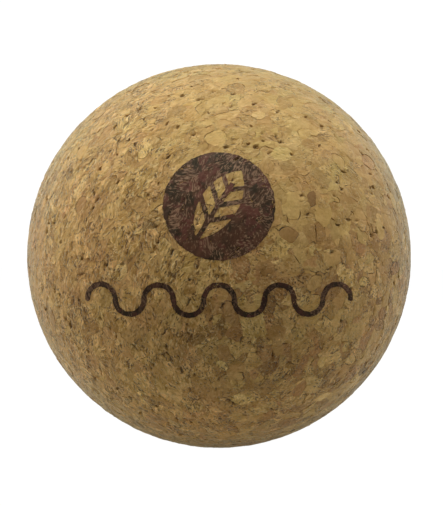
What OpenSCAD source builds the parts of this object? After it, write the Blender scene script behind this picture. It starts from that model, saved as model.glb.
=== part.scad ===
// Massage ball pressed from cork granulate.
// A turned sphere of small bonded granules carries larger granules in fitted seats, and a print in ink.
// The origin is the ball's centre. +Z is up, and the printed side faces -Y.

/* [Ball] */
// Ball diameter
ball_d = 65; // [60:1:80]

/* [Granules] */
// Surface area that each scattered coarse granule has to itself, in square millimetres
granule_cell = 62; // [60:1:120]
// Mean length of a scattered coarse granule
granule_l = 3.7; // [2.4:0.1:3.8]
// Width of a granule as a share of its length
granule_aspect = 0.7; // [0.5:0.05:0.9]
// Depth to which a coarse granule reaches below the surface
granule_depth = 2.6; // [1.5:0.1:4]
// Length of a bark fleck
fleck_l = 1.3; // [0.9:0.1:2.4]
// Seed of the scatter
scatter_seed = 41; // [1:1:99]

/* [Print] */
// Thickness of the ink film
ink_t = 0.06; // [0.05:0.01:0.2]
// Diameter of the printed disc
badge_d = 16.4; // [12:0.2:18]
// Elevation of the disc's centre above the ball's equator
badge_el = 13.5; // [10:0.5:16]
// Length of the leaf left bare in the disc
leaf_l = 12.4; // [8:0.2:12.4]
// Width of the leaf
leaf_w = 5.6; // [4:0.2:6.4]
// Stroke of the leaf's veins
vein_w = 0.7; // [0.5:0.05:0.9]
// Slant of the leaf from upright
leaf_tilt = -32; // [-60:1:60]
// Number of half waves in the line under the disc
half_waves = 9; // [3:2:9]
// Width of one half wave
half_wave_w = 4.4; // [3.6:0.1:4.6]
// Stroke of the wave
wave_stroke = 0.8; // [0.5:0.05:1.2]
// Depth of the wave's centre line below the ball's equator
wave_drop = 6.4; // [6:0.1:8]

/* [Hidden] */
$fn = 160;
ball_r = ball_d / 2;
over = 1; // how far a cutting prism stands out of the ball

// Tones, in the order of the granule nodes
PALE = 0;
STRAW = 1;
GOLDEN = 2;
TAN = 3;
RUSSET = 4;
UMBER = 5;
BARK = 6;
TONE_COLOURS = ["#d8c298", "#c9ac72", "#b3915a", "#9b7a4d", "#a07358", "#74543a", "#4a3326"];
// Share of the scattered granules that are of a tone up to and including this one
TONE_SHARES = [0.12, 0.34, 0.57, 0.76, 0.9, 0.94, 1];

// Large granules that stand out around the print: [azimuth, elevation, length, width, slant, tone].
// Azimuth is from -Y towards +X. Slant is the long side's turn from level, anticlockwise from outside.
FEATURE_GRANULES = [
    [-1, 33, 3.7, 3, 10, PALE],
    [-23, 29, 3.5, 2, 62, PALE],
    [14, 41, 2.8, 2, 20, PALE],
    [19, 28, 4.2, 3, 15, PALE],
    [39, 27, 3.2, 2.2, -30, STRAW],
    [26, 15, 3.1, 2, 78, UMBER],
    [43, -7, 2.8, 1.7, 0, PALE],
    [41, 2, 2.8, 1.8, 6, RUSSET],
    [55, -16, 3.4, 2.4, -20, RUSSET],
    [47, -30, 3.1, 2, -12, PALE],
    [43, -43, 3.4, 2.2, 20, PALE],
    [8, -42, 4.2, 2.8, 5, PALE],
    [1, -30, 3, 1.4, -50, PALE],
    [-10, -31, 4.2, 1.5, 80, PALE],
    [-6, -22, 2.7, 1.9, 20, UMBER],
    [-33, -21, 3.6, 2.4, -40, RUSSET],
    [-42, 14, 3.6, 2, 58, TAN],
    [-55, -10, 3.8, 2.2, -62, GOLDEN],
    [26, -24, 3.8, 2.8, -8, GOLDEN],
    [-20, -45, 3.6, 2.2, -30, TAN]
];
PLACE_SLIP = 1.6; // a scattered granule lies within half of this many degrees of its place on the spiral
LENGTH_SPREAD = [0.8, 1.15]; // shortest and longest scattered granule, as shares of the mean length
WIDTH_SPREAD = [0.85, 1.15]; // narrowest and widest, as shares of the mean width
LEAST_CORNERS = 6; // corners in a granule's outline, of which it may have two more
CORNER_TURN = 0.28; // how far a corner turns from its even place at most, as a share of the step to the next
CORNER_REACH = 0.8; // how far out a corner lies at least, as a share of the granule's size
FEATURE_GAP = 6.2; // scattered granules closer to a feature granule's centre than this are left out
CLEAR_EL = 82; // above this elevation, and below its negative where the ball stands, the matrix is plain
CLEAR_BACK = 2.7; // half width of the plain strip up the ball's back, where its surface closes on itself

MIDRIB_SHARE = 0.86; // length of the leaf's midrib as a share of the leaf's
VEIN_LEVELS = [-0.24, -0.02, 0.2]; // where side veins leave the midrib, as shares of the leaf's length
VEIN_ANGLE = 48; // between a side vein and the midrib

GOLDEN_ANGLE = 180 * (3 - sqrt(5));
scatter_n = floor(4 * PI * pow(ball_r, 2) / granule_cell);

// The unit vector at an azimuth and an elevation
function outward(az, el) = [sin(az) * cos(el), -cos(az) * cos(el), sin(el)];

// Distance along the ball between two directions
function along(a, b) = ball_r * PI / 180 * acos(min(1, max(-1, a * b)));

// The first tone whose share reaches the draw
function tone_at(draw, i = 0) = draw <= TONE_SHARES[i] ? i : tone_at(draw, i + 1);

// The number that lies a share of the way along a range
function between(range, share) = range[0] + (range[1] - range[0]) * share;

// One scattered granule: an even spiral over the ball, each place moved a little and turned at random
function scattered(i) =
    let (
        draws = rands(0, 1, 6, scatter_seed * 1000 + i),
        el = asin(1 - 2 * (i + 0.5) / scatter_n) + PLACE_SLIP * (draws[0] - 0.5),
        az = i * GOLDEN_ANGLE + PLACE_SLIP * (draws[1] - 0.5) / max(0.2, cos(el)),
        tone = tone_at(draws[2]),
        len = tone == BARK ? fleck_l : granule_l * between(LENGTH_SPREAD, draws[3]),
        wid = len * granule_aspect * between(WIDTH_SPREAD, draws[4])
    )
    [az, el, len, wid, 180 * draws[5], tone];

function near_feature(g) =
    min([for (f = FEATURE_GRANULES) along(outward(g[0], g[1]), outward(f[0], f[1]))]) < FEATURE_GAP;

function in_clear_zone(g) =
    let (d = outward(g[0], g[1]))
    abs(g[1]) > CLEAR_EL || (d.y > 0 && ball_r * abs(d.x) < CLEAR_BACK);

SCATTERED = [for (i = [0 : scatter_n - 1]) scattered(i)];
GRANULES = concat(
    FEATURE_GRANULES,
    [for (g = SCATTERED) if (!in_clear_zone(g) && !near_feature(g)) g]
);

// Outline of a granule: an ellipse's worth of corners, each turned and drawn in at random
function granule_outline(g, seed) =
    let (
        corners = LEAST_CORNERS + floor(rands(0, 2.99, 1, seed)[0]),
        turns = rands(-CORNER_TURN, CORNER_TURN, corners, seed + 1),
        reaches = rands(CORNER_REACH, 1, corners, seed + 2)
    )
    [for (k = [0 : corners - 1])
        let (a = 360 * (k + turns[k]) / corners)
        [g[2] / 2 * reaches[k] * cos(a), g[3] / 2 * reaches[k] * sin(a)]];

// The prism that a granule fills, square to the surface at its centre
module granule_prism(i) {
    g = GRANULES[i];
    rotate([90 - g[1], 0, g[0]])
        translate([0, 0, ball_r - granule_depth])
            rotate(g[4])
                linear_extrude(granule_depth + over)
                    polygon(granule_outline(g, 100 * scatter_seed + 10 * i));
}

// A sphere whose surface closes on itself along the back
module ball(r) {
    rotate(90) sphere(r);
}

module cork_matrix() {
    color("#a98556")
        difference() {
            ball(ball_r);
            for (i = [0 : len(GRANULES) - 1]) granule_prism(i);
        }
}

// All coarse granules of one tone, ground flush with the ball
module granules(tone) {
    color(TONE_COLOURS[tone])
        for (i = [0 : len(GRANULES) - 1]) {
            if (GRANULES[i][5] == tone) {
                intersection() {
                    granule_prism(i);
                    ball(ball_r);
                }
            }
        }
}

// The ink film wherever its flat artwork lands on the front of the ball
module print_on_ball() {
    color("#3d2a27")
        intersection() {
            difference() {
                ball(ball_r + ink_t);
                ball(ball_r);
            }
            children();
        }
}

// A pointed leaf between two equal arcs, upright
module leaf_outline() {
    arc_r = (pow(leaf_l / 2, 2) + pow(leaf_w / 2, 2)) / leaf_w;
    intersection() {
        translate([arc_r - leaf_w / 2, 0]) circle(arc_r);
        translate([leaf_w / 2 - arc_r, 0]) circle(arc_r);
    }
}

// Midrib and paired side veins
module leaf_veins() {
    side_l = leaf_w;
    translate([-vein_w / 2, -leaf_l / 2 - vein_w]) square([vein_w, MIDRIB_SHARE * leaf_l]);
    for (level = VEIN_LEVELS, side = [-1, 1])
        translate([0, level * leaf_l])
            rotate(side * VEIN_ANGLE)
                translate([-vein_w / 2, 0])
                    square([vein_w, side_l]);
}

module print_badge() {
    print_on_ball()
        rotate([90 - badge_el, 0, 0])
            linear_extrude(ball_r + over)
                difference() {
                    circle(badge_d / 2);
                    rotate(leaf_tilt)
                        difference() {
                            leaf_outline();
                            leaf_veins();
                        }
                }
}

// One half wave: half of a ring, standing up or hanging down
module half_ring(side) {
    mean_r = half_wave_w / 2;
    outer_r = mean_r + wave_stroke / 2;
    intersection() {
        difference() {
            circle(outer_r);
            circle(outer_r - wave_stroke);
        }
        translate([-outer_r, side > 0 ? 0 : -outer_r]) square([2 * outer_r, outer_r]);
    }
}

module print_wave() {
    first = -(half_waves - 1) / 2;
    print_on_ball()
        rotate([90, 0, 0])
            linear_extrude(ball_r + over)
                translate([0, -wave_drop])
                    for (i = [0 : half_waves - 1])
                        translate([(first + i) * half_wave_w, 0])
                            half_ring(i % 2 == 0 ? 1 : -1);
}

cork_matrix();
granules(PALE);  // pale_granules
granules(STRAW);  // straw_granules
granules(GOLDEN);  // golden_granules
granules(TAN);  // tan_granules
granules(RUSSET);  // russet_granules
granules(UMBER);  // umber_granules
granules(BARK);  // bark_flecks
print_badge();
print_wave();
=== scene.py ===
"""Massage ball pressed from cork granulate: its grain, its ink print and the studio around it."""
import math
from functools import reduce
from types import SimpleNamespace as Record
import bpy
import numpy as np
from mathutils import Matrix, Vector, kdtree
from mathutils.bvhtree import BVHTree


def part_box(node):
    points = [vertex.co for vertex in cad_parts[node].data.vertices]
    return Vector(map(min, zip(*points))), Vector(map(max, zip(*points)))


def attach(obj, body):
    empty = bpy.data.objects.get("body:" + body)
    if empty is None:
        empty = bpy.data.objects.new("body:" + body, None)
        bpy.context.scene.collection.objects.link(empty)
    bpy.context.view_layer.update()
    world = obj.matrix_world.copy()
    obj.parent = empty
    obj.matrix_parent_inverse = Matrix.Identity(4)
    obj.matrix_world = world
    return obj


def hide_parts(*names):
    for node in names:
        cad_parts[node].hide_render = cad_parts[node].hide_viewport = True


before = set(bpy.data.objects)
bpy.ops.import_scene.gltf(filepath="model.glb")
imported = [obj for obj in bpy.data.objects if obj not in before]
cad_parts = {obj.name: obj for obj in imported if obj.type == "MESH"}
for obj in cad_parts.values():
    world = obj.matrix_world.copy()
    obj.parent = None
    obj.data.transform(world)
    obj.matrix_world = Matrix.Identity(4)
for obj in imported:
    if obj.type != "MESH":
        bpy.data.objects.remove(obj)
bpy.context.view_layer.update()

# -------- sizes, in millimetres
MM = 0.001  # one millimetre in the scene's metres
matrix_low, matrix_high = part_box("cork_matrix")
BALL_R = (matrix_high.z - matrix_low.z) / 2 / MM
SEAT_DEPTH = 2.6  # how far a coarse granule reaches into the ball
SEAT_GAP = 0.05  # how much deeper its seat is

GRID = 176  # squares along a side of each face of the ball's grid
SQUARE = np.pi / 2 / GRID  # a square's side, on a ball of radius 1
GRID_SHAKE = 0.16  # spread of its points around their places, in squares

FLAKE_VOLUME = 4.6  # mean volume of a granule
FLAKE_FLATNESS = 2.0  # how many times wider than thick a granule is
SEED_SHELL = 2.6  # granule centres lie within this distance of the surface
LARGE_SHARE = 0.22  # share of the granules that are large
LARGE_LEAD, SMALL_LEAD = (0.7, 1.5), (0, 0.45)  # how much further out large and small ones reach
BORDER_BEND, BORDER_FRAY = 0.32, 0.16  # how far borders bend, in broad and in fine waves
COARSE_FRAY = 0.05  # how far the outline of a coarse granule does, in fine waves

PRESS_AZ, PRESS_EL = 33, -19  # the way the cork was pressed, in degrees from the front and the equator
FACING_FROM, FACING_OVER = 0.72, 0.18  # cosine to it where flat sides begin to show, and over how much

LIFT, LIFT_SPREAD, LIFT_RANGE = -0.045, 0.024, (-0.14, 0.01)  # height of a granule over the ball's surface
TILT_SPREAD, TILT_RANGE = 0.017, (-0.06, 0.04)  # slope of its top, and how far that takes its rim
FINE_RIPPLE, BROAD_RIPPLE, RIPPLE_RANGE = 0.014, 0.016, (-0.04, 0.02)  # waviness of the whole surface

INK_LIFT = 0.035  # how far the ink stands off the cork
INK_SINK = 0.06  # how far it soaks in
INK_STEP = 0.125  # size of the ink film's grid
INK_SHOW = 0.9  # how strongly the lightness of the cork shows through the ink, as a power
INK_REACH = 0.40  # cork that lies deeper than this stays without ink

rng = np.random.default_rng(20)


# -------- small helpers
def unit(v):
    """Rows scaled to length 1."""
    return v / np.maximum(np.linalg.norm(v, axis=-1, keepdims=True), 1e-12)


def outward(az, el):
    """The direction at an azimuth from -Y towards +X and an elevation, in degrees."""
    a, e = np.radians(az), np.radians(el)
    return np.stack([np.sin(a) * np.cos(e), -np.cos(a) * np.cos(e), np.sin(e) * np.ones_like(a)], -1)


def tangents(middle):
    """The directions to the side and up in the surface around a direction."""
    side = unit(np.cross([0.0, 0.0, 1.0], middle))
    return side, np.cross(middle, side)


def turned(p, degrees):
    """Points in a plane turned anticlockwise around its middle."""
    c, s = math.cos(math.radians(degrees)), math.sin(math.radians(degrees))
    return np.stack([p[..., 0] * c - p[..., 1] * s, p[..., 0] * s + p[..., 1] * c], -1)


def smooth(x):
    """0 up to 0, 1 from 1 on, and an even rise between them."""
    x = np.clip(x, 0, 1)
    return x * x * (3 - 2 * x)


def rows(*columns):
    """Rows that take one number from each column."""
    return np.stack(columns, 1)


def joined(*arrays):
    """Arrays one below the other."""
    return np.concatenate(arrays)


def in_scene(name, data):
    """An object in the scene."""
    obj = bpy.data.objects.new(name, data)
    bpy.context.scene.collection.objects.link(obj)
    return obj


def search_tree(places):
    tree = kdtree.KDTree(len(places))
    for i, place in enumerate(places):
        tree.insert(place, i)
    tree.balance()
    return tree


def junctions(ends, count):
    """Whether more than two of these edges end at each of count points."""
    return np.bincount(ends.ravel(), minlength=count) > 2


def linked_groups(count, left, right):
    """The lowest item that each item is linked to, where left and right are linked in pairs."""
    group = np.arange(count)
    while True:
        low = np.minimum(group[left], group[right])
        before = group.copy()
        np.minimum.at(group, left, low)
        np.minimum.at(group, right, low)
        if (group == before).all():
            return group


def mean_over(index, values, count):
    """The mean of values over each index."""
    total = np.zeros((count,) + values.shape[1:])
    np.add.at(total, index, values)
    seen = np.bincount(index, minlength=count).reshape((-1,) + (1,) * (values.ndim - 1))
    return total / np.maximum(seen, 1)


def squares(number):
    """The four corners of each square of a grid of point numbers, in order."""
    return (number[part].ravel() for part in
            (np.s_[:-1, :-1], np.s_[:-1, 1:], np.s_[1:, 1:], np.s_[1:, :-1]))


class Waves:
    """A smooth random field: sine waves of about one wavelength, in random directions."""

    def __init__(self, wavelength, count=14, width=1):
        k = unit(rng.normal(size=(count, 3))) * 2 * np.pi / wavelength
        self.k = k * rng.uniform(0.6, 1.5, (count, 1))
        self.phase = rng.uniform(0, 2 * np.pi, count)
        self.amp = rng.normal(size=(count, width)) / math.sqrt(count / 2)

    def __call__(self, p):
        return np.sin(p @ self.k.T + self.phase) @ self.amp


# -------- the grid the surface is made on
CUBE_FACES = [  # out, right and up of each face of the grid
    ((0, -1, 0), (1, 0, 0), (0, 0, 1)),
    ((1, 0, 0), (0, 1, 0), (0, 0, 1)),
    ((0, 1, 0), (-1, 0, 0), (0, 0, 1)),
    ((-1, 0, 0), (0, -1, 0), (0, 0, 1)),
    ((0, 0, 1), (1, 0, 0), (0, 1, 0)),
    ((0, 0, -1), (1, 0, 0), (0, -1, 0)),
]
CELL_FILL, CELL_EDGE = 0.96, 0.495  # share of its cell that a face fills, and its farthest from the middle


def ball_grid(n):
    """Points on the unit sphere and triangles between them, with each triangle's cube face."""
    angle = np.tan(np.linspace(-np.pi / 4, np.pi / 4, n + 1))
    u, v = np.meshgrid(angle, angle)
    points, tris, faces = [], [], []
    corner = np.arange((n + 1) ** 2).reshape(n + 1, n + 1)
    a, b, c, d = squares(corner)
    for number, axes in enumerate(CUBE_FACES):
        out, right, up = (np.array(x, float) for x in axes)
        points.append(unit(out + u[..., None] * right + v[..., None] * up).reshape(-1, 3))
        flip = rng.random(len(a)) < 0.5
        first = np.where(flip[:, None], rows(a, b, c), rows(a, b, d))
        second = np.where(flip[:, None], rows(a, c, d), rows(b, c, d))
        tris.append(joined(first, second) + number * len(corner) ** 2)
        faces.append(np.full(2 * len(a), number))
    points, tris = joined(*points), joined(*tris)
    _, first, same = np.unique(np.round(points, 7), axis=0, return_index=True, return_inverse=True)
    points, tris = points[first], same.reshape(-1)[tris]
    shake = rng.normal(size=points.shape) * GRID_SHAKE * np.pi / 2 / n
    return unit(points + shake), tris, joined(*faces)


def atlas_uv(m):
    """Where each corner of the matrix lies on a 3 by 2 sheet of the six cube faces."""
    directions, face = unit(m.places[m.tris].reshape(-1, 3)), np.repeat(m.face, 3)
    out, right, up = (np.array([f[i] for f in CUBE_FACES], float)[face] for i in range(3))
    depth = (directions * out).sum(-1)
    u = np.arctan2((directions * right).sum(-1), depth) / (np.pi / 2)
    v = np.arctan2((directions * up).sum(-1), depth) / (np.pi / 2)
    u, v = (np.clip(CELL_FILL * x, -CELL_EDGE, CELL_EDGE) for x in (u, v))
    return np.stack([(face % 3 + 0.5 + u) / 3, (face // 3 + 0.5 + v) / 2], -1)


# -------- the coarse granules that CAD placed
COARSE_NODES = ["pale_granules", "straw_granules", "golden_granules", "tan_granules", "russet_granules",
                "umber_granules", "bark_flecks"]
SECTORS = 24  # an outline keeps its outermost corner in each of so many sectors


def islands(node):
    """The separate solids of a CAD node, each as its points in millimetres."""
    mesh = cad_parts[node].data
    points = np.array([v.co for v in mesh.vertices]) / MM
    same = np.unique(np.round(points, 4), axis=0, return_inverse=True)[1].reshape(-1)
    edges = same[np.array([e.vertices for e in mesh.edges])]
    labels = linked_groups(same.max() + 1, edges[:, 0], edges[:, 1])[same]
    return [points[labels == g] for g in np.unique(labels)]


def outline(flat):
    """A granule's outermost corners around its middle, as the angle and the reach of each."""
    angle = np.arctan2(flat[:, 1], flat[:, 0])
    reach = np.hypot(flat[:, 0], flat[:, 1])
    edges = np.linspace(-np.pi, np.pi, SECTORS + 1)
    rim = []
    for low, high in zip(edges[:-1], edges[1:]):
        inside = np.flatnonzero((angle >= low) & (angle < high))
        if len(inside):
            rim.append(inside[np.argmax(reach[inside])])
    return angle[rim], reach[rim]


def coarse_granules():
    """Each coarse granule's node, the direction of its middle, its axes and its outline."""
    found = []
    for number, node in enumerate(COARSE_NODES):
        for points in islands(node):
            top = points[np.linalg.norm(points, axis=1) > BALL_R - 0.05]
            middle = unit((top.min(0) + top.max(0)) / 2)
            side, up = tangents(middle)
            middle = unit(middle * BALL_R + side * (top @ side).mean() + up * (top @ up).mean())
            side, up = tangents(middle)
            flat = np.unique(np.round(rows(top @ side, top @ up), 3), axis=0)
            angle, reach = outline(flat)
            found.append(Record(node=number, middle=middle, side=side, up=up, angle=angle, reach=reach))
    found.sort(key=lambda g: tuple(np.round(g.middle, 4)))
    return found


# -------- which granule each triangle belongs to
press_axis = outward(PRESS_AZ, PRESS_EL)


def facing(directions):
    """0 where the pressed layers are cut across, 1 where a granule's flat side lies in the surface."""
    return smooth((np.abs(directions @ press_axis) - FACING_FROM) / FACING_OVER)


def pressed(points):
    """Space stretched along the pressing direction, in which flat granules come out round."""
    along = points @ press_axis
    return points + (FLAKE_FLATNESS - 1) * along[..., None] * press_axis


def fine_granules(centres):
    """The granule of a random scatter that each centre lies in, and how many there are."""
    volume = 4 * np.pi * BALL_R**2 * 2 * SEED_SHELL
    count = int(volume / FLAKE_VOLUME)
    way = unit(rng.normal(size=(count, 3)))
    seeds = way * rng.uniform(BALL_R - SEED_SHELL, BALL_R + SEED_SHELL, (count, 1))
    large = rng.random(count) < LARGE_SHARE
    lead = np.where(large, rng.uniform(*LARGE_LEAD, count), rng.uniform(*SMALL_LEAD, count))
    tree = search_tree(pressed(seeds))
    bend = Waves(4.0, 14, 3)
    fray = Waves(1.1, 18, 3)
    bent = pressed(centres + BORDER_BEND * bend(centres) + BORDER_FRAY * fray(centres))
    label = np.empty(len(centres), int)
    for i, place in enumerate(bent):
        near = tree.find_n(place, 7)
        label[i] = min(near, key=lambda hit: hit[2] - lead[hit[1]])[1]
    return label, count


def inside_coarse(centres, granules):
    """The number of the coarse granule that each centre lies in, or -1."""
    tree = search_tree(centres)
    found = np.full(len(centres), -1)
    ragged = Waves(0.9, 16)
    for number, g in enumerate(granules):
        near = np.array([i for _, i, _ in tree.find_range(g.middle * BALL_R, g.reach.max() + 0.3)])
        x, y = centres[near] @ g.side, centres[near] @ g.up
        rim = np.interp(np.arctan2(y, x), g.angle, g.reach, period=2 * np.pi)
        found[near[np.hypot(x, y) < rim + COARSE_FRAY * ragged(centres[near])[:, 0]]] = number
    return found


def relabel_specks(label, t1, t2):
    """A lone triangle takes the granule of its neighbour."""
    same = label[t1] == label[t2]
    alike = np.bincount(joined(t1[same], t2[same]), minlength=len(label))
    lone = alike == 0
    changed = label.copy()
    changed[t1[lone[t1]]] = label[t2[lone[t1]]]
    return changed


def without_pinches(coarse, tris, t1, t2, ends):
    """Coarse granules filled in wherever their outlines would touch themselves at a point."""
    count = tris.max() + 1
    for _ in range(12):
        pinch = junctions(ends[:, coarse[t1] != coarse[t2]], count)
        if not pinch.any():
            break
        highest = np.full(count, -1)
        np.maximum.at(highest, tris.ravel(), np.repeat(coarse, 3))
        touching = pinch[tris]
        fill = np.where(touching, highest[tris], -1).max(1)
        coarse = np.where(touching.any(1), fill, coarse)
    return coarse


# -------- edges and corners of the grid
def shared_edges(tris):
    """Each edge once, as the two corners that it sets out from, one in each of its two triangles."""
    a = tris.ravel()
    b = np.roll(tris, -1, axis=1).ravel()
    key = np.minimum(a, b) * (tris.max() + 1) + np.maximum(a, b)
    order = np.argsort(key, kind="stable")
    return order[0::2], order[1::2]


def next_corner(corner):
    return corner - corner % 3 + (corner % 3 + 1) % 3


def corner_sectors(tris, first, second, is_open):
    """Corners that meet at a point and aren't parted by a crack share a sector number."""
    left = joined(first[~is_open], next_corner(first[~is_open]))
    right = joined(next_corner(second[~is_open]), second[~is_open])
    return np.unique(linked_groups(tris.size, left, right), return_inverse=True)[1].reshape(-1)


def area_outside(points, tris):
    """About twice the area of each triangle, below zero where it is turned over."""
    a, b, c = (points[tris[:, i]] for i in range(3))
    return (np.cross(b - a, c - a) * a).sum(1)


def mean_across(ends, points):
    """For each point, the mean of the points at the far ends of its edges."""
    return mean_over(ends.ravel(), points[ends[::-1].ravel()], len(points))


def settle(points, tris, ends, border):
    """Border lines drawn smooth and the points between them evened out, with no triangle turned over."""
    start = points.copy()
    on_border = np.zeros(len(points), bool)
    on_border[ends[:, border]] = True
    for _ in range(4):
        towards = mean_across(ends[:, border], points)
        points = np.where(on_border[:, None], unit(0.5 * points + 0.5 * towards), points)
        towards = mean_across(ends, points)
        points = np.where(on_border[:, None], points, unit(0.5 * points + 0.5 * towards))
    for _ in range(8):
        cramped = area_outside(points, tris) < 0.06 * SQUARE ** 2
        if not cramped.any():
            break
        again = np.unique(tris[cramped])
        points[again] = unit(0.5 * points[again] + 0.5 * start[again])
    return points


# -------- cracks and heights
def pair_draw(a, b, salt):
    """A number from 0 to 1 that depends only on the pair of granules, by an integer hash."""
    low, high = np.minimum(a, b).astype(np.uint64), np.maximum(a, b).astype(np.uint64)
    x = low * np.uint64(2654435761) + high * np.uint64(40503) + np.uint64(salt) * np.uint64(97)
    for shift, factor in ((15, 2246822519), (13, 3266489917), (16, 1)):
        x = (x ^ (x >> np.uint64(shift))) * np.uint64(factor)
    return (x % np.uint64(100003)).astype(float) / 100003


CRACKED, FLAT_CRACKED = 0.30, 0.20  # share of borders that crack, and how much more where granules lie flat


def border_cracks(places, one, other, border, parted):
    """Which borders between granules are cracked open, and each crack's depth and half width."""
    opens, deep, wide = (pair_draw(one, other, salt) for salt in (1, 2, 3))
    flat_side = facing(places)
    is_open = border & ((opens < CRACKED + FLAT_CRACKED * flat_side) | parted)
    # they gape in patches, and are nearly closed elsewhere
    gaping = smooth(0.22 - 0.10 * flat_side + 0.8 * Waves(2.0)(places * BALL_R)[:, 0])
    depth = (0.03 + 0.02 * flat_side + 0.30 * deep ** 1.5) * (0.05 + 0.95 * gaping)
    half = (0.02 + (0.05 + 0.05 * flat_side) * wide) * (0.15 + 0.85 * gaping)
    return is_open, depth, half


def corner_heights(places, owner, label_count):
    """How high each corner lies over the ball's surface, as its granule is lifted and tilted."""
    middle = mean_over(owner, places, label_count)
    lift = np.clip(rng.normal(LIFT, LIFT_SPREAD, label_count), *LIFT_RANGE)
    tilt = rng.normal(0, TILT_SPREAD, (label_count, 3))
    return lift[owner] + np.clip(((places - middle[owner]) * tilt[owner]).sum(1), *TILT_RANGE)


def drawn_back(points, flat, open_corners, half, sector, base):
    """The direction of each sector's point once the rims of the cracks have drawn back from them."""
    push = np.zeros((len(base), 3))
    share = np.zeros(len(base))
    for corner in open_corners:
        follow = next_corner(corner)
        a, b, c = (points[flat[at]] for at in (corner, follow, next_corner(follow)))
        run = unit(b - a)
        inward = unit((c - a) - ((c - a) * run).sum(1)[:, None] * run)
        for end in (corner, follow):
            np.add.at(push, sector[end], inward * half[:, None])
            np.add.at(share, sector[end], 1)
    push /= np.maximum(share, 1)[:, None]
    push[np.bincount(base, minlength=len(points))[base] < 2] = 0
    top = sector.reshape(-1, 3)
    for _ in range(6):
        moved = unit(points[base] + push / BALL_R)
        cramped = area_outside(moved, top) < 0.03 * SQUARE ** 2
        push[np.unique(top[cramped])] *= 0.5
    return moved


def crack_walls(flat, sector, bottom, open_corners):
    """Two triangles to each side of each crack, and the surface triangles that they hang from."""
    walls, source = [], []
    for corner in open_corners:
        follow = next_corner(corner)
        start, end = sector[corner], sector[follow]
        start_low, end_low = bottom[flat[corner]], bottom[flat[follow]]
        for wall in (rows(end, start, start_low), rows(end, start_low, end_low)):
            real = (wall[:, 0] != wall[:, 1]) & (wall[:, 1] != wall[:, 2]) & (wall[:, 0] != wall[:, 2])
            walls.append(wall[real])
            source.append((corner // 3)[real])
    return joined(*walls), joined(*source)


# -------- pits
# Pits that stand out on the front: azimuth, elevation, half length, half width and slant of each
FRONT_PITS = [
    (-38, 24, 0.35, 0.3, 60), (-33, 28, 0.45, 0.3, 50), (-27, 31, 0.4, 0.35, 60), (-25, 45, 0.5, 0.3, 55),
    (-22, 50, 0.35, 0.25, 50), (-16, 50, 0.8, 0.28, 25), (-7, 48, 0.4, 0.25, 20), (-18, 38, 0.35, 0.3, 60),
    (-14, 37, 0.5, 0.3, 55), (-8, 34, 0.5, 0.28, 50), (-4, 42, 0.35, 0.3, 50), (14, 46, 0.7, 0.35, 15),
    (22, 43, 0.5, 0.3, 10), (14, 32, 0.4, 0.3, 0), (11, 37, 0.3, 0.25, 0), (18, 33, 0.3, 0.3, 20),
    (-31, -2, 0.55, 0.4, 30), (-26, -2, 0.45, 0.3, 60), (-42, -12, 0.35, 0.35, 0), (-52, -14, 0.4, 0.3, 70),
    (-44, -27, 0.4, 0.3, -50), (31, 1, 0.4, 0.3, 60), (38, -9, 0.6, 0.3, 20), (33, -41, 0.5, 0.3, 0),
    (45, -38, 0.6, 0.35, 45), (37, 18, 0.5, 0.28, -10), (50, 19, 0.35, 0.3, 40), (33, 31, 0.4, 0.3, 0),
]
FRONT_PIT_LENGTHS, FRONT_PIT_WIDTHS = 0.8, 0.75  # shares of those sizes at which the pits are cut
FRONT_PIT_DEPTH = 0.35
SCATTERED_PITS = 620  # pits all over the ball, where granules meet
PIT_HALF_LENGTH, PIT_HALF_WIDTH, PIT_DEPTH = (0.24, 0.70), (0.13, 0.22), (0.12, 0.42)


def pit_list(corners):
    """Azimuth, elevation, half length, half width, slant and depth of every pit."""
    pits = [(az, el, FRONT_PIT_LENGTHS * half, FRONT_PIT_WIDTHS * wide, slant, FRONT_PIT_DEPTH)
            for az, el, half, wide, slant in FRONT_PITS]
    for x, y, z in corners[rng.choice(len(corners), SCATTERED_PITS, replace=False)]:
        az, el = math.degrees(math.atan2(x, -y)), math.degrees(math.asin(z))
        pits.append((az, el, rng.uniform(*PIT_HALF_LENGTH), rng.uniform(*PIT_HALF_WIDTH), None,
                     rng.uniform(*PIT_DEPTH)))
    return pits


def pit_depths(points, corners):
    """How deep each point sinks in the pits, with the pits' middles moved to the nearest point."""
    tree = search_tree(points * BALL_R)
    depth = np.zeros(len(points))
    for az, el, half, wide, slant, deep in pit_list(corners):
        _, nearest, _ = tree.find(outward(az, el) * BALL_R)
        middle = points[nearest]
        side, up = tangents(middle)
        if slant is None:  # along the pressed layers
            layer = unit(np.cross(middle, press_axis))
            slant = math.degrees(math.atan2(layer @ up, layer @ side))
        near = np.array([i for _, i, _ in tree.find_range(middle * BALL_R, half + 0.2)])
        away = points[near] - middle
        x, y = turned(rows(away @ side * BALL_R, away @ up * BALL_R), -slant).T
        rho = np.hypot(x / half, y / wide)
        depth[near] = np.maximum(depth[near], deep * smooth(1.25 - rho))
    return depth


# -------- the whole surface
HERE, THERE, FACE, LABEL = range(2, 6)  # columns of the seat lines, after the two points of each


def seat_lines(is_seat, sides, bottom, flat, coarse, face, label):
    """The bottoms of the cracks around coarse granules, once for the solid on each side of them."""
    lines = []
    for corner, here, there in sides:
        start, end = bottom[flat[corner]], bottom[flat[next_corner(corner)]]
        line = rows(start, end, coarse[here], coarse[there], face[here], label[here])
        lines.append(line[is_seat])
    return joined(*lines)


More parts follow.
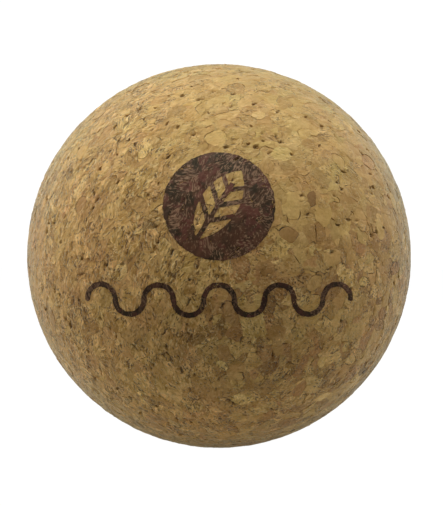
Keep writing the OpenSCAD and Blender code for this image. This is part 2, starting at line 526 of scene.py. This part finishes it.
def build_surface():
    """The ball's whole outer surface as arrays: points, triangles and what each belongs to."""
    points, tris, face = ball_grid(GRID)
    centres = unit(points[tris].mean(1)) * BALL_R
    granules = coarse_granules()
    label, fine_count = fine_granules(centres)
    label_count = fine_count + len(granules)
    flat = tris.ravel()
    first, second = shared_edges(tris)
    t1, t2 = first // 3, second // 3
    ends = flat[np.stack([first, second])]
    label = relabel_specks(label, t1, t2)
    coarse = without_pinches(inside_coarse(centres, granules), tris, t1, t2, ends)
    label = np.where(coarse >= 0, fine_count + coarse, label)
    border = label[t1] != label[t2]
    points = settle(points, tris, ends, border)

    parted = coarse[t1] != coarse[t2]
    is_open, crack_depth, crack_half = border_cracks(points[ends[0]], label[t1], label[t2], border, parted)
    open_corners = (first[is_open], second[is_open])
    sector = corner_sectors(tris, first, second, is_open)
    sectors = sector.max() + 1
    base = np.zeros(sectors, int)  # the grid point of each sector
    base[sector] = flat
    height = corner_heights(points[flat] * BALL_R, np.repeat(label, 3), label_count)
    height = mean_over(sector, height, sectors)
    direction = drawn_back(points, flat, open_corners, crack_half[is_open], sector, base)

    # each point that a crack runs through gets one more, at the crack's bottom
    depth = mean_over(ends[:, is_open].ravel(), np.tile(crack_depth[is_open], 2), len(points))
    low = np.full(len(points), np.inf)
    np.minimum.at(low, base, height)
    split = np.flatnonzero(np.bincount(base, minlength=len(points)) > 1)
    bottom = np.zeros(len(points), int)
    bottom[base] = np.arange(sectors)
    bottom[split] = sectors + np.arange(len(split))
    direction = joined(direction, points[split])
    height = joined(height, low[split] - depth[split])
    base = joined(base, split)
    # painted shade: crack bottoms and pits get a darker colour, by how deep they lie
    cavity = np.zeros(len(base))
    cavity[sectors:] = np.clip(depth[split] / 0.16, 0.1, 1)

    pits = pit_depths(points, points[junctions(ends[:, border], len(points))])
    ripple = FINE_RIPPLE * Waves(0.9)(points * BALL_R)[:, 0]
    ripple += BROAD_RIPPLE * Waves(2.6)(points * BALL_R)[:, 0]
    height += np.clip(ripple, *RIPPLE_RANGE)[base] - pits[base]
    cavity = np.maximum(cavity, smooth(pits[base] / 0.3))

    walls, wall_source = crack_walls(flat, sector, bottom, open_corners)
    source = joined(np.arange(len(tris)), wall_source)
    sides = ((first, t1, t2), (second, t2, t1))
    return Record(
        direction=direction, height=height, cavity=cavity,
        tris=joined(sector.reshape(-1, 3), walls), label=label[source], face=face[source],
        solid=coarse[source], granules=granules, fine_count=fine_count, label_count=label_count,
        lines=seat_lines(is_open & parted, sides, bottom, flat, coarse, face, label),
    )


surface = build_surface()


# -------- colours of the granules
TONES = np.array([  # reflectance of each tone, in the order of the coarse nodes
    (0.712, 0.466, 0.184),
    (0.617, 0.389, 0.146),
    (0.546, 0.329, 0.120),
    (0.448, 0.253, 0.091),
    (0.490, 0.267, 0.102),
    (0.352, 0.194, 0.069),
    (0.210, 0.116, 0.047),
])
COMMON_TONE = TONES[2]
FINE_SHARES = [0.07, 0.26, 0.36, 0.19, 0.11, 0.008, 0.002]  # share of the fine granules of each tone
FINE_SPREAD = 0.58  # how much of its tone's difference from the common one a fine granule keeps
FINE_FLAT_SPREAD = 0.54  # and how much more where the flat granules lie in the surface
COARSE_SPREAD, COARSE_FLAT_SPREAD = 0.8, 0.6  # the same two shares for a coarse granule
SHADE_SPREAD, TINT_SPREAD = 0.045, 0.013  # further spread of a granule's lightness and of each primary
RUBBED_AZ, RUBBED_EL = 30, 40  # the middle of the side that is rubbed smoother
RUBBED_FROM, RUBBED_OVER = 0.60, 0.28  # from this cosine to its middle on it sets in, and over this much
RUBBED_LOSS = 0.60  # share of the felt's relief that is gone at its middle
RUBBED_EVEN = 0.40  # share of the tones' differences that is gone there
SMOOTHEST, ROUGHEST = 0.45, 1.45  # relief of the felt on the smoothest and the roughest granules
COARSE_RELIEF = 0.85  # share of it that a coarse granule keeps
GRAIN_TURN = 0.42  # spread of the cells' turn from the pressed layers, in radians
GRAIN_FLAT_TURN = 1.1  # and how much more where granules lie flat in the surface
GRAIN_FLAT_LOSS = 0.4  # how much less the felt is drawn out there


def granule_looks(s):
    """Each granule's tone with the relief of its felt as a fourth number, and the way its cells run."""
    count, coarse = s.label_count, slice(s.fine_count, None)
    middles = unit(mean_over(s.label, s.direction[s.tris[:, 0]], count))
    flat = facing(middles)
    tone = rng.choice(len(TONES), count, p=FINE_SHARES)
    tone[coarse] = [g.node for g in s.granules]
    rubbed = smooth((middles @ outward(RUBBED_AZ, RUBBED_EL) - RUBBED_FROM) / RUBBED_OVER)
    spread = (FINE_SPREAD + FINE_FLAT_SPREAD * flat) * (1 - RUBBED_EVEN * rubbed)
    spread[coarse] = COARSE_SPREAD + COARSE_FLAT_SPREAD * flat[coarse]
    colour = COMMON_TONE * (TONES[tone] / COMMON_TONE) ** spread[:, None]
    colour *= np.exp(rng.normal(0, SHADE_SPREAD, (count, 1)))
    colour *= np.exp(rng.normal(0, TINT_SPREAD, (count, 3)))
    relief = rng.uniform(SMOOTHEST, ROUGHEST, count) * (1 - RUBBED_LOSS * rubbed)
    relief[coarse] *= COARSE_RELIEF

    layer = unit(np.cross(middles, press_axis))
    across = np.cross(middles, layer)
    turn = rng.normal(0, 1, count) * (GRAIN_TURN + GRAIN_FLAT_TURN * flat)
    way = np.cos(turn)[:, None] * layer + np.sin(turn)[:, None] * across
    length = np.sqrt(1 - GRAIN_FLAT_LOSS * flat)
    return np.column_stack([colour, relief]), way * length[:, None]


# -------- meshes
UNDERSIDE_SHRINK = 0.04  # share by which a coarse granule is narrower at its underside
TOP_SPAN = 2.9  # width of a granule's square on the sheet, in times its reach
SHEET_FILL = 0.97  # share of its square that a granule's map may fill


def write(data, field, values):
    data.foreach_set(field, values.astype(np.float32).ravel())


def make_piece(name, places, tris, uv, colour, grain, cavity, material):
    """A mesh object from points in millimetres, with its sheet position, tone, grain and painted shade in
    its hollows.
    """
    mesh = bpy.data.meshes.new(name)
    mesh.vertices.add(len(places))
    write(mesh.vertices, "co", places * MM)
    mesh.loops.add(tris.size)
    mesh.loops.foreach_set("vertex_index", tris.ravel().astype(np.int32))
    mesh.polygons.add(len(tris))
    mesh.polygons.foreach_set("loop_start", np.arange(0, tris.size, 3, dtype=np.int32))
    mesh.update(calc_edges=True)
    write(mesh.uv_layers.new(name="OFBake").uv, "vector", uv)
    write(mesh.color_attributes.new("tone", "FLOAT_COLOR", "CORNER").data, "color", np.repeat(colour, 3, 0))
    write(mesh.attributes.new("grain", "FLOAT_VECTOR", "FACE").data, "vector", grain)
    write(mesh.attributes.new("cavity", "FLOAT", "POINT").data, "value", cavity)
    mesh.polygons.foreach_set("use_smooth", np.ones(len(tris), bool))
    mesh.set_sharp_from_angle(angle=math.radians(38))
    mesh.materials.append(material)
    return in_scene(name, mesh)


def solid_mesh(s, chosen):
    """Closed solids for the chosen granules (or -1 for the matrix): their surface, sides and undersides."""
    mine = np.isin(s.solid, chosen)
    points = len(s.direction)
    used, tris = np.unique((s.solid[mine, None] + 1) * points + s.tris[mine], return_inverse=True)
    point = used % points
    places = s.direction[point] * (BALL_R + s.height[point])[:, None]
    parts = [dict(places=places, tris=tris.reshape(-1, 3), label=s.label[mine], face=s.face[mine],
                  solid=s.solid[mine], under=np.zeros(mine.sum(), bool), cavity=s.cavity[point])]
    count = len(places)
    lines = s.lines[np.isin(s.lines[:, HERE], chosen)]
    for number, g in enumerate(s.granules):
        around = (lines[:, HERE] == number) | ((lines[:, HERE] == -1) & (lines[:, THERE] == number))
        ring = lines[around]
        if not len(ring):
            continue
        is_seat = ring[0, HERE] == -1
        at = np.searchsorted(used, (ring[0, HERE] + 1) * points + ring[:, :2])
        corners, inverse = np.unique(at, return_inverse=True)
        floor = BALL_R - SEAT_DEPTH - (SEAT_GAP if is_seat else 0)
        shrink = 0 if is_seat else UNDERSIDE_SHRINK
        under = unit(places[corners] + shrink * (g.middle * BALL_R - places[corners])) * floor
        a, b = at.T
        a2, b2 = count + inverse.reshape(-1, 2).T
        side = joined(rows(b, a, a2), rows(b, a2, b2))
        base = rows(b2, a2, np.full(len(a), count + len(under)))
        count += len(under) + 1
        parts.append(dict(
            places=joined(under, g.middle[None] * floor), tris=joined(side, base),
            label=np.tile(ring[:, LABEL], 3), face=np.tile(ring[:, FACE], 3),
            solid=np.full(3 * len(ring), number), under=np.repeat([False, False, True], len(ring)),
            # painted shade over the hidden sides and underside of a coarse granule
            cavity=np.ones(len(under) + 1),
        ))
    return Record(**{key: joined(*(part[key] for part in parts)) for key in parts[0]})


def granule_uv(m, granules, chosen):
    """Each granule has a square of the sheet: top in the middle, sides around it, underside in a corner."""
    cells = math.ceil(math.sqrt(len(chosen)))
    found = np.zeros((len(m.tris) * 3, 2))
    owner, under = np.repeat(m.solid, 3), np.repeat(m.under, 3)
    at = m.places[m.tris].reshape(-1, 3)
    for cell, number in enumerate(chosen):
        g = granules[number]
        mine = owner == number
        local = rows(at[mine] @ g.side, at[mine] @ g.up)
        local = local / (TOP_SPAN * (g.reach.max() + 0.2))
        deep = np.clip((BALL_R - np.linalg.norm(at[mine], axis=1)) / SEAT_DEPTH, 0, 1)[:, None]
        local = np.where(under[mine, None], 0.1 * local - 0.44, local * (1 + 0.3 * deep))
        found[mine] = (np.array([cell % cells, cell // cells]) + 0.5 + SHEET_FILL * local) / cells
    return found


# -------- materials
class Nodes:
    """The node tree of a material or a world, with short ways to add and join nodes."""

    def __init__(self, owner):
        owner.use_nodes = True
        self.owner = owner
        self.tree = owner.node_tree

    def add(self, kind, inputs=(), **settings):
        node = self.tree.nodes.new("ShaderNode" + kind)
        for key, value in settings.items():
            setattr(node, key, value)
        for key, value in dict(inputs).items():
            self.join(value, node.inputs[key])
        return node

    def join(self, value, socket):
        if isinstance(value, bpy.types.NodeSocket):
            self.tree.links.new(value, socket)
        else:
            socket.default_value = value

    def fill(self, node, inputs):
        for key, value in inputs.items():
            self.join(value, self.tree.nodes[node].inputs[key])

    def attribute(self, name, output):
        return self.add("Attribute", attribute_name=name).outputs[output]

    def noise(self, place, size_mm, detail=2.0, roughness=0.55):
        """Noise with features of about this size."""
        scale = {"Vector": place, "Scale": 1 / (size_mm * MM), "Detail": detail, "Roughness": roughness}
        return self.add("TexNoise", scale).outputs["Fac"]

    def flakes(self, place, size_mm):
        """Flakes of about this size, with three random numbers to each."""
        cells = {"Vector": place, "Scale": 1 / (size_mm * MM), "Randomness": 1.0}
        draws = self.add("TexVoronoi", cells, feature="F1").outputs["Color"]
        return self.add("SeparateColor", {"Color": draws}).outputs

    def ramp(self, value, low, high, to_low=0.0, to_high=1.0):
        """value between low and high, brought to between to_low and to_high."""
        span = {"Value": value, "From Min": low, "From Max": high, "To Min": to_low, "To Max": to_high}
        return self.add("MapRange", span, clamp=True).outputs["Result"]

    def maths(self, operation, a, b):
        return self.add("Math", {0: a, 1: b}, operation=operation).outputs[0]

    def plus(self, a, b):
        return self.maths("ADD", a, b)

    def minus(self, a, b):
        return self.maths("SUBTRACT", a, b)

    def times(self, *factors):
        return reduce(lambda a, b: self.maths("MULTIPLY", a, b), factors)

    def weighed(self, *pairs):
        """The sum of values, each times its weight."""
        return reduce(self.plus, [self.times(value, weight) for value, weight in pairs])

    def vector(self, operation, a, b):
        return self.add("VectorMath", {0: a, 1: b}, operation=operation).outputs[0]

    def scaled(self, colour, factor):
        return self.add("VectorMath", {0: colour, "Scale": factor}, operation="SCALE").outputs[0]

    def bump(self, height, strength, deep_mm):
        relief = {"Height": height, "Strength": strength, "Distance": deep_mm * MM}
        return self.add("Bump", relief).outputs[0]

    def blend(self, factor, a, b):
        return self.add("Mix", {0: factor, 6: a, 7: b}, data_type="RGBA").outputs[2]

    def drawn_out(self, place, direction, share):
        """place squeezed along direction, so that noise in it is drawn out along that direction."""
        along = self.add("VectorMath", {0: place, 1: direction}, operation="DOT_PRODUCT").outputs["Value"]
        return self.vector("SUBTRACT", place, self.scaled(direction, self.times(along, share)))

    def fibres(self, f, share, size_mm):
        """Fine noise, drawn out along the grain."""
        return self.noise(self.drawn_out(f.place, f.grain, share), size_mm, detail=1.0, roughness=0.5)


def felt(n):
    """Short strokes and overlapping flakes along the grain, as light and dark and as height."""
    place = n.add("TexCoord").outputs["Object"]
    grain = n.attribute("grain", "Vector")
    shift = n.add("TexNoise", {"Vector": place, "Scale": 1 / (0.8 * MM), "Detail": 2.0}).outputs["Color"]
    shift = n.vector("SUBTRACT", shift, (0.5, 0.5, 0.5))
    bent = n.vector("ADD", place, n.scaled(shift, 0.6 * MM))
    strokes = n.noise(n.drawn_out(bent, grain, 0.60), size_mm=0.40, roughness=0.5)
    lines = n.noise(n.drawn_out(bent, grain, 0.70), size_mm=0.19, roughness=0.6)
    flake = n.flakes(n.drawn_out(bent, grain, 0.62), size_mm=0.46)[0]
    shard = n.flakes(n.drawn_out(bent, grain, 0.40), size_mm=1.05)[1]
    height = n.weighed((flake, 0.30), (strokes, 1.0), (shard, 0.35), (lines, 0.18))
    length = n.add("VectorMath", {0: grain}, operation="LENGTH").outputs["Value"]
    amount = n.times(length, n.attribute("tone", "Alpha"))
    return Record(place=place, grain=grain, bent=bent, strokes=strokes, lines=lines, flake=flake,
                  shard=shard, height=n.times(height, amount), amount=amount)


PORE_COLOUR = (0.125, 0.052, 0.010, 1)
# painted shade: the colour of crack bottoms, pits and the hidden sides of coarse granules
CAVITY_SHADE_COLOUR = (0.122, 0.051, 0.010, 1)
# pale flecks: partly pale cork, partly painted glints
FLECK_AND_GLINT_COLOUR = (0.86, 0.636, 0.338, 1)


def cork_light(n, f):
    """How light the cork is within a granule, around 1: by its felt, and in broad soft patches."""
    fibres = n.ramp(n.fibres(f, 0.60, size_mm=0.20), 0.36, 0.64, 0.95, 1.05)
    light = n.times(n.ramp(f.lines, 0.3, 0.7, 0.94, 1.06), fibres,
                    n.ramp(f.flake, 0, 1, 0.88, 1.14), n.ramp(f.shard, 0, 1, 0.81, 1.20))
    light = n.plus(1.0, n.times(n.minus(light, 1.0), f.amount))
    dim = n.minus(1.0, n.times(f.amount, 0.225))
    bright = n.plus(1.0, n.times(f.amount, 0.26))
    mottle = n.noise(f.place, size_mm=2.6, detail=3.0, roughness=0.6)
    return n.times(light, n.ramp(f.strokes, 0.30, 0.70, dim, bright), n.ramp(mottle, 0.3, 0.7, 0.90, 1.10))


def cork_pores(n, f):
    """How much of a pore there is: small dark specks, crowded in places and few on smooth granules."""
    crowded = n.ramp(n.noise(f.place, size_mm=2.4, detail=1.0), 0.42, 0.66, 0, 0.115)
    strength = n.ramp(f.amount, 0.2, 0.8, 0.12, 0.78)
    return n.ramp(n.plus(n.fibres(f, 0.58, size_mm=0.26), crowded), 0.660, 0.720, 0, strength)


def cork_material(name):
    """Cork bark: each granule's own tone, felted with short strokes along its grain, with dark pores, pale
    flecks that are partly painted glints, and painted shade in its cracks and pits.
    """
    n = Nodes(bpy.data.materials.new(name))
    f = felt(n)
    light = cork_light(n, f)
    pore = cork_pores(n, f)
    ruddy = n.ramp(n.noise(f.place, size_mm=7.0), 0.40, 0.66)
    # small pale flecks along the grain, partly pale cork and partly painted highlight
    fleck_and_glint = n.ramp(n.fibres(f, 0.60, size_mm=0.30), 0.60, 0.67, 0, n.times(f.amount, 0.5))
    # painted shade: darker where the cork lies at a crack's bottom or in a pit
    cavity = n.ramp(n.attribute("cavity", "Fac"), 0.08, 1.0, 0, 0.75)

    colour = n.scaled(n.attribute("tone", "Color"), light)
    colour = n.vector("MULTIPLY", colour, n.blend(ruddy, (0.99, 1.0, 0.97, 1), (1.02, 0.975, 1.01, 1)))
    deeper = n.blend(n.ramp(light, 0.72, 1.15), (1.03, 0.91, 0.66, 1), (1.0, 1.0, 1.07, 1))
    colour = n.vector("MULTIPLY", colour, deeper)
    colour = n.blend(fleck_and_glint, colour, FLECK_AND_GLINT_COLOUR)
    colour = n.blend(pore, colour, PORE_COLOUR)
    colour = n.blend(cavity, colour, CAVITY_SHADE_COLOUR)
    height = n.minus(f.height, n.times(pore, 0.6))
    n.fill("Principled BSDF", {
        "Base Color": colour, "Roughness": n.ramp(f.strokes, 0.3, 0.7, 0.84, 0.66),
        "Specular IOR Level": 0.28, "Sheen Weight": 0.56, "Sheen Roughness": 0.35,
        "Sheen Tint": (0.74, 0.94, 1.0, 1), "Normal": n.bump(height, 1.0, deep_mm=0.19),
    })
    return n.owner


INK_BROWN = (0.108, 0.043, 0.023, 1)
INK_BLACK = (0.043, 0.025, 0.012, 1)
INK_RED = (0.152, 0.047, 0.034, 1)
INK_WORN = (0.290, 0.160, 0.100, 1)


def ink_material(name):
    """Printing ink soaked into cork: dark red brown, mottled, and worn paler along the cork's grain."""
    n = Nodes(bpy.data.materials.new(name))
    f = felt(n)
    chip = n.flakes(n.drawn_out(f.bent, f.grain, 0.40), size_mm=1.9)
    patch = n.weighed((chip[0], 0.35), (n.noise(f.place, size_mm=2.0), 0.65))
    red = n.weighed((chip[1], 0.3), (n.noise(f.place, size_mm=1.1), 0.7))
    streaks = n.fibres(f, 0.70, size_mm=0.20)
    worn = n.weighed((f.strokes, 0.30), (streaks, 0.70), (chip[2], 0.15))
    colour = n.blend(n.ramp(patch, 0.36, 0.64), INK_BROWN, INK_BLACK)
    colour = n.blend(n.ramp(red, 0.52, 0.68, 0, 0.8), colour, INK_RED)
    colour = n.blend(n.ramp(worn, 0.605, 0.70, 0, 0.9), colour, INK_WORN)
    n.fill("Principled BSDF", {
        "Base Color": n.vector("MULTIPLY", colour, n.attribute("tone", "Color")),
        "Roughness": n.ramp(patch, 0.3, 0.7, 0.60, 0.74), "Specular IOR Level": 0.25,
        "Normal": n.bump(f.height, 0.7, deep_mm=0.12),
    })
    return n.owner


# -------- the cork pieces
def build_cork(s):
    """The matrix and the coarse granules, one piece to each CAD node."""
    colours, grain = granule_looks(s)
    groups = [("cork_matrix", "matrix_cork", [-1])]
    for node, name in enumerate(COARSE_NODES):
        chosen = [i for i, g in enumerate(s.granules) if g.node == node]
        groups.append((name, name.split("_")[0] + "_chips", chosen))
    pieces = []
    for node, name, chosen in groups:
        m = solid_mesh(s, chosen)
        uv = atlas_uv(m) if node == "cork_matrix" else granule_uv(m, s.granules, chosen)
        piece = make_piece(name, m.places, m.tris, uv, colours[m.label], grain[m.label], m.cavity,
                           cork_material(name))
        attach(piece, "root")
        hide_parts(node)
        pieces.append(piece)
    return pieces


def read(data, field, width):
    """A mesh attribute as rows of width numbers."""
    values = np.empty(len(data) * width, np.float32)
    data.foreach_get(field, values)
    return values.reshape(-1, width)


def whole_cork(pieces):
    """A search tree over all the cork, in millimetres, with each triangle's grain and lightness."""
    places, tris, grain, tone = [], [], [], []
    for piece in pieces:
        start = len(places)
        places += [v.co / MM for v in piece.data.vertices]
        tris += [[start + i for i in p.vertices] for p in piece.data.polygons]
        grain.append(read(piece.data.attributes["grain"].data, "vector", 3))
        tone.append(read(piece.data.attributes["tone"].data, "color", 4)[::3, :3])
    light = joined(*tone).mean(1) / COMMON_TONE.mean()
    return Record(tree=BVHTree.FromPolygons(places, tris), grain=joined(*grain), light=light)


# -------- the print
BADGE_R, BADGE_EL = 8.2, 13.5
BADGE_SHADE, WAVE_SHADE = 1.0, 0.67  # how light each print's ink is
LEAF_L, LEAF_W, VEIN_W, LEAF_TILT = 12.4, 5.6, 0.7, -32
VEIN_LEVELS, VEIN_ANGLE, MIDRIB_SHARE = (-0.24, -0.02, 0.2), 48, 0.86
WAVE_HALVES, WAVE_STEP, WAVE_STROKE, WAVE_DROP = 9, 4.4, 0.8, 6.4
FILM_MARGIN = 0.4  # how far the ink film's grid reaches past the badge


def bar(p, half_w, low, high):
    """Distance into a straight bar that runs up from low to high."""
    return np.maximum(np.abs(p[..., 0]) - half_w, np.abs(p[..., 1] - (low + high) / 2) - (high - low) / 2)


def badge_distance(p):
    """Below zero inside the badge's ink: a disc with a veined leaf left bare."""
    q = turned(p, -LEAF_TILT)
    arc_r = ((LEAF_L / 2) ** 2 + (LEAF_W / 2) ** 2) / LEAF_W
    shift = arc_r - LEAF_W / 2
    leaf = np.maximum(np.hypot(q[..., 0] - shift, q[..., 1]), np.hypot(q[..., 0] + shift, q[..., 1])) - arc_r
    low = -LEAF_L / 2 - VEIN_W
    veins = bar(q, VEIN_W / 2, low, low + MIDRIB_SHARE * LEAF_L)
    for level in VEIN_LEVELS:
        for side in (-1, 1):
            start = q - np.array([0, level * LEAF_L])
            veins = np.minimum(veins, bar(turned(start, -side * VEIN_ANGLE), VEIN_W / 2, 0, LEAF_W))
    bare = np.maximum(leaf, -veins)
    return np.maximum(np.hypot(p[..., 0], p[..., 1]) - BADGE_R, -bare)


def wave_distance(p):
    """Below zero inside the wave's ink: half rings that stand up and hang down in turn."""
    found = np.full(p.shape[:-1], np.inf)
    r = WAVE_STEP / 2
    for i in range(WAVE_HALVES):
        x, y = p[..., 0] - (i - WAVE_HALVES // 2) * WAVE_STEP, p[..., 1] + WAVE_DROP
        side = 1 if i % 2 == 0 else -1
        ends = np.hypot(np.abs(x) - r, y)
        found = np.minimum(found, np.where(side * y >= 0, np.abs(np.hypot(x, y) - r), ends))
    return found - WAVE_STROKE / 2


def flat_artwork(distance, reach):
    """The artwork in its own plane, as points and the triangles between them where there is ink."""
    (x0, x1), (y0, y1) = reach
    nx, ny = int((x1 - x0) / INK_STEP), int((y1 - y0) / INK_STEP)
    grid = np.meshgrid(np.linspace(x0, x1, nx + 1), np.linspace(y0, y1, ny + 1))
    flat = np.stack(grid, -1).reshape(-1, 2)
    ragged = Waves(1.5)
    rough = Waves(0.55)

    def edge(p):
        deep = np.pad(p, ((0, 0), (0, 1)))
        return distance(p) + 0.03 * ragged(deep)[:, 0] + 0.02 * rough(deep)[:, 0]

    e = 0.02
    for _ in range(3):  # points close to the outline move onto it
        d = edge(flat)
        slope = [edge(flat + step) - edge(flat - step) for step in ([e, 0], [0, e])]
        step = np.where(np.abs(d) < 0.55 * INK_STEP, d, 0)[:, None] * unit(np.stack(slope, 1))
        flat = flat - np.clip(step, -0.4 * INK_STEP, 0.4 * INK_STEP)
    inside = edge(flat) < 0.03 * INK_STEP + 0.02
    a, b, c, d = squares(np.arange(len(flat)).reshape(ny + 1, nx + 1))
    tris = joined(rows(a, b, c), rows(a, c, d))
    return flat, tris[inside[tris].all(1)]


def edges_alone(tris, count):
    """The edges that belong to one triangle only, as two points each."""
    edges = rows(tris.ravel(), np.roll(tris, -1, 1).ravel())
    alone = ~np.isin(edges[:, 0] * count + edges[:, 1], edges[:, 1] * count + edges[:, 0])
    return edges[alone]


def without_corner_contacts(tris, count):
    """The film's triangles, less those around a point where two parts of it would only touch."""
    while True:
        pinch = junctions(edges_alone(tris, count), count)
        if not pinch.any():
            return tris
        tris = tris[~pinch[tris].any(1)]


def ink_film(name, node, distance, reach, axes, cork, material, shade):
    """A thin closed film over the cork, where distance is below zero in the plane of the artwork."""
    right, up, out = (np.array(a, float) for a in axes)
    flat, tris = flat_artwork(distance, reach)
    hit = np.full((len(flat), 3), np.nan)
    struck = np.zeros(len(flat), int)
    way = Vector(-out)
    for i in np.unique(tris):
        start = Vector(right * flat[i, 0] + up * flat[i, 1] + out * 2 * BALL_R)
        hit[i], _, struck[i], _ = cork.tree.ray_cast(start, way)
    sunk = BALL_R - np.linalg.norm(hit, axis=1) > INK_REACH
    tris = without_corner_contacts(tris[~sunk[tris].any(1)], len(flat))

    used, tris = np.unique(tris, return_inverse=True)
    tris = tris.reshape(-1, 3)
    count = len(used)
    place, across = hit[used], unit(hit[used])
    places = joined(place + INK_LIFT * across, place - INK_SINK * across)
    e, f = edges_alone(tris, count).T
    walls = joined(rows(f, e, e + count), rows(f, e + count, f + count))
    faces = joined(tris, tris[:, ::-1] + count, walls)
    (x0, x1), (y0, y1) = reach
    sheet = (flat[used] - [x0, y0]) / max(x1 - x0, y1 - y0)
    uv = np.tile(sheet, (2, 1))[faces]
    under = slice(len(tris), 2 * len(tris))
    uv[under] = uv[under] * 0.02 + 0.975  # the underside is never seen, so it gets a corner of the sheet
    below = np.tile(struck[used], 2)[faces[:, 0]]
    tone = np.ones((len(faces), 4))
    tone[:, :3] = shade * cork.light[below, None] ** INK_SHOW
    piece = make_piece(name, places, faces, uv.reshape(-1, 2), tone, cork.grain[below],
                       np.zeros(len(places)), material)
    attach(piece, "root")
    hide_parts(node)
    return piece


def build_print(cork):
    ink = ink_material("print_ink_look")
    e = math.radians(BADGE_EL)
    badge_axes = ((1, 0, 0), (0, math.sin(e), math.cos(e)), (0, -math.cos(e), math.sin(e)))
    rim = BADGE_R + FILM_MARGIN
    badge_reach = ((-rim, rim), (-rim, rim))
    ink_film("ink_badge", "print_badge", badge_distance, badge_reach, badge_axes, cork, ink, BADGE_SHADE)
    wave_axes = ((1, 0, 0), (0, 0, 1), (0, -1, 0))
    half = WAVE_HALVES * WAVE_STEP / 2 + WAVE_STROKE
    high = WAVE_STEP / 2 + WAVE_STROKE
    wave_reach = ((-half, half), (-WAVE_DROP - high, -WAVE_DROP + high))
    ink_film("ink_wave", "print_wave", wave_distance, wave_reach, wave_axes, cork, ink, WAVE_SHADE)


cork_pieces = build_cork(surface)
build_print(whole_cork(cork_pieces))


# -------- studio
WARM, COOL = (0.99, 0.89, 0.71), (0.83, 1.09, 1.08)
TABLE_LIGHT = (0.96, 0.93, 0.70)
SOFTBOX_AWAY, SOFTBOX_SIDE = 420, 380  # a softbox's distance from the ball's middle, and its side
TABLE_HALF, TABLE_GREY = 3.0, 0.26  # half the table's side, in metres, and what it reflects
TABLE_GLOW, TABLE_GLOW_SHARE = 1.14, 0.88  # the white that the camera sees over it, and its share
SKY_LIGHT, SKY_SEEN = 0.03, 1.05  # strength of the white all round as light, and as the camera sees it


def soft_light(name, place, faces, width, height, watts, colour):
    """A rectangular soft light at a place, facing a direction; sizes in millimetres."""
    light = bpy.data.lights.new(name, "AREA")
    light.shape = "RECTANGLE"
    light.size, light.size_y = width * MM, height * MM
    light.energy = watts
    light.color = colour
    obj = in_scene(name, light)
    obj.location = Vector(place) * MM
    obj.rotation_euler = Vector(faces).to_track_quat("-Z", "Y").to_euler()
    obj.visible_camera = False


def softbox(name, az, el, watts, colour):
    """A square softbox that looks at the ball from a direction."""
    way = Vector(outward(az, el))
    soft_light(name, way * SOFTBOX_AWAY, -way, SOFTBOX_SIDE, SOFTBOX_SIDE, watts, colour)


def build_lights():
    softbox("top_light", 0, 85, 1.44, COOL)
    softbox("high_left_light", -66, 47, 0.90, WARM)
    softbox("high_right_light", 66, 47, 0.59, WARM)
    softbox("left_light", -108, 8, 0.90, WARM)
    softbox("right_light", 120, 5, 0.79, WARM)
    table = -BALL_R + 0.2
    soft_light("table_glow", (0, 30, table), (0, 0, 1), 260, 130, 0.028, TABLE_LIGHT)
    soft_light("rear_table_glow", (0, 100, table), (0, 0, 1), 320, 160, 0.112, WARM)


def build_floor():
    """A white light table that runs out of sight."""
    half, low = TABLE_HALF, min(v.co.z for p in cork_pieces for v in p.data.vertices)
    corners = [(-half, -half, low), (half, -half, low), (half, half, low), (-half, half, low)]
    mesh = bpy.data.meshes.new("table")
    mesh.from_pydata(corners, [], [(0, 1, 2, 3)])
    n = Nodes(bpy.data.materials.new("table_white"))
    n.fill("Principled BSDF", {"Base Color": (TABLE_GREY, TABLE_GREY, TABLE_GREY, 1), "Roughness": 0.8})
    share = n.times(n.add("LightPath").outputs["Is Camera Ray"], TABLE_GLOW_SHARE)
    glow = n.add("Emission", {"Strength": TABLE_GLOW}).outputs[0]
    mix = n.add("MixShader", {0: share, 1: n.tree.nodes["Principled BSDF"].outputs[0], 2: glow})
    n.fill("Material Output", {"Surface": mix.outputs[0]})
    mesh.materials.append(n.owner)
    floor = in_scene("table", mesh)


def build_world():
    """White behind the ball for the camera, and next to no light from all round."""
    n = Nodes(bpy.data.worlds.new("tent"))
    strength = n.ramp(n.add("LightPath").outputs["Is Camera Ray"], 0, 1, SKY_LIGHT, SKY_SEEN)
    n.fill("Background", {"Color": (1, 1, 1, 1), "Strength": strength})
    bpy.context.scene.world = n.owner


def build_camera():
    """A long lens level with the ball's middle, shifted a little to place it in the frame."""
    camera = bpy.data.cameras.new("camera")
    camera.sensor_fit = "VERTICAL"
    camera.sensor_height = 36
    camera.lens = 85
    camera.clip_start, camera.clip_end = 0.01, 20
    camera.shift_x, camera.shift_y = 0.00494, 0.00593
    obj = in_scene("camera", camera)
    obj.location = (0, -204.8 * MM, 0)
    obj.rotation_euler = (math.pi / 2, 0, 0)
    bpy.context.scene.camera = obj


build_lights()
build_floor()
build_world()
build_camera()
bpy.context.scene.view_settings.view_transform = "Standard"
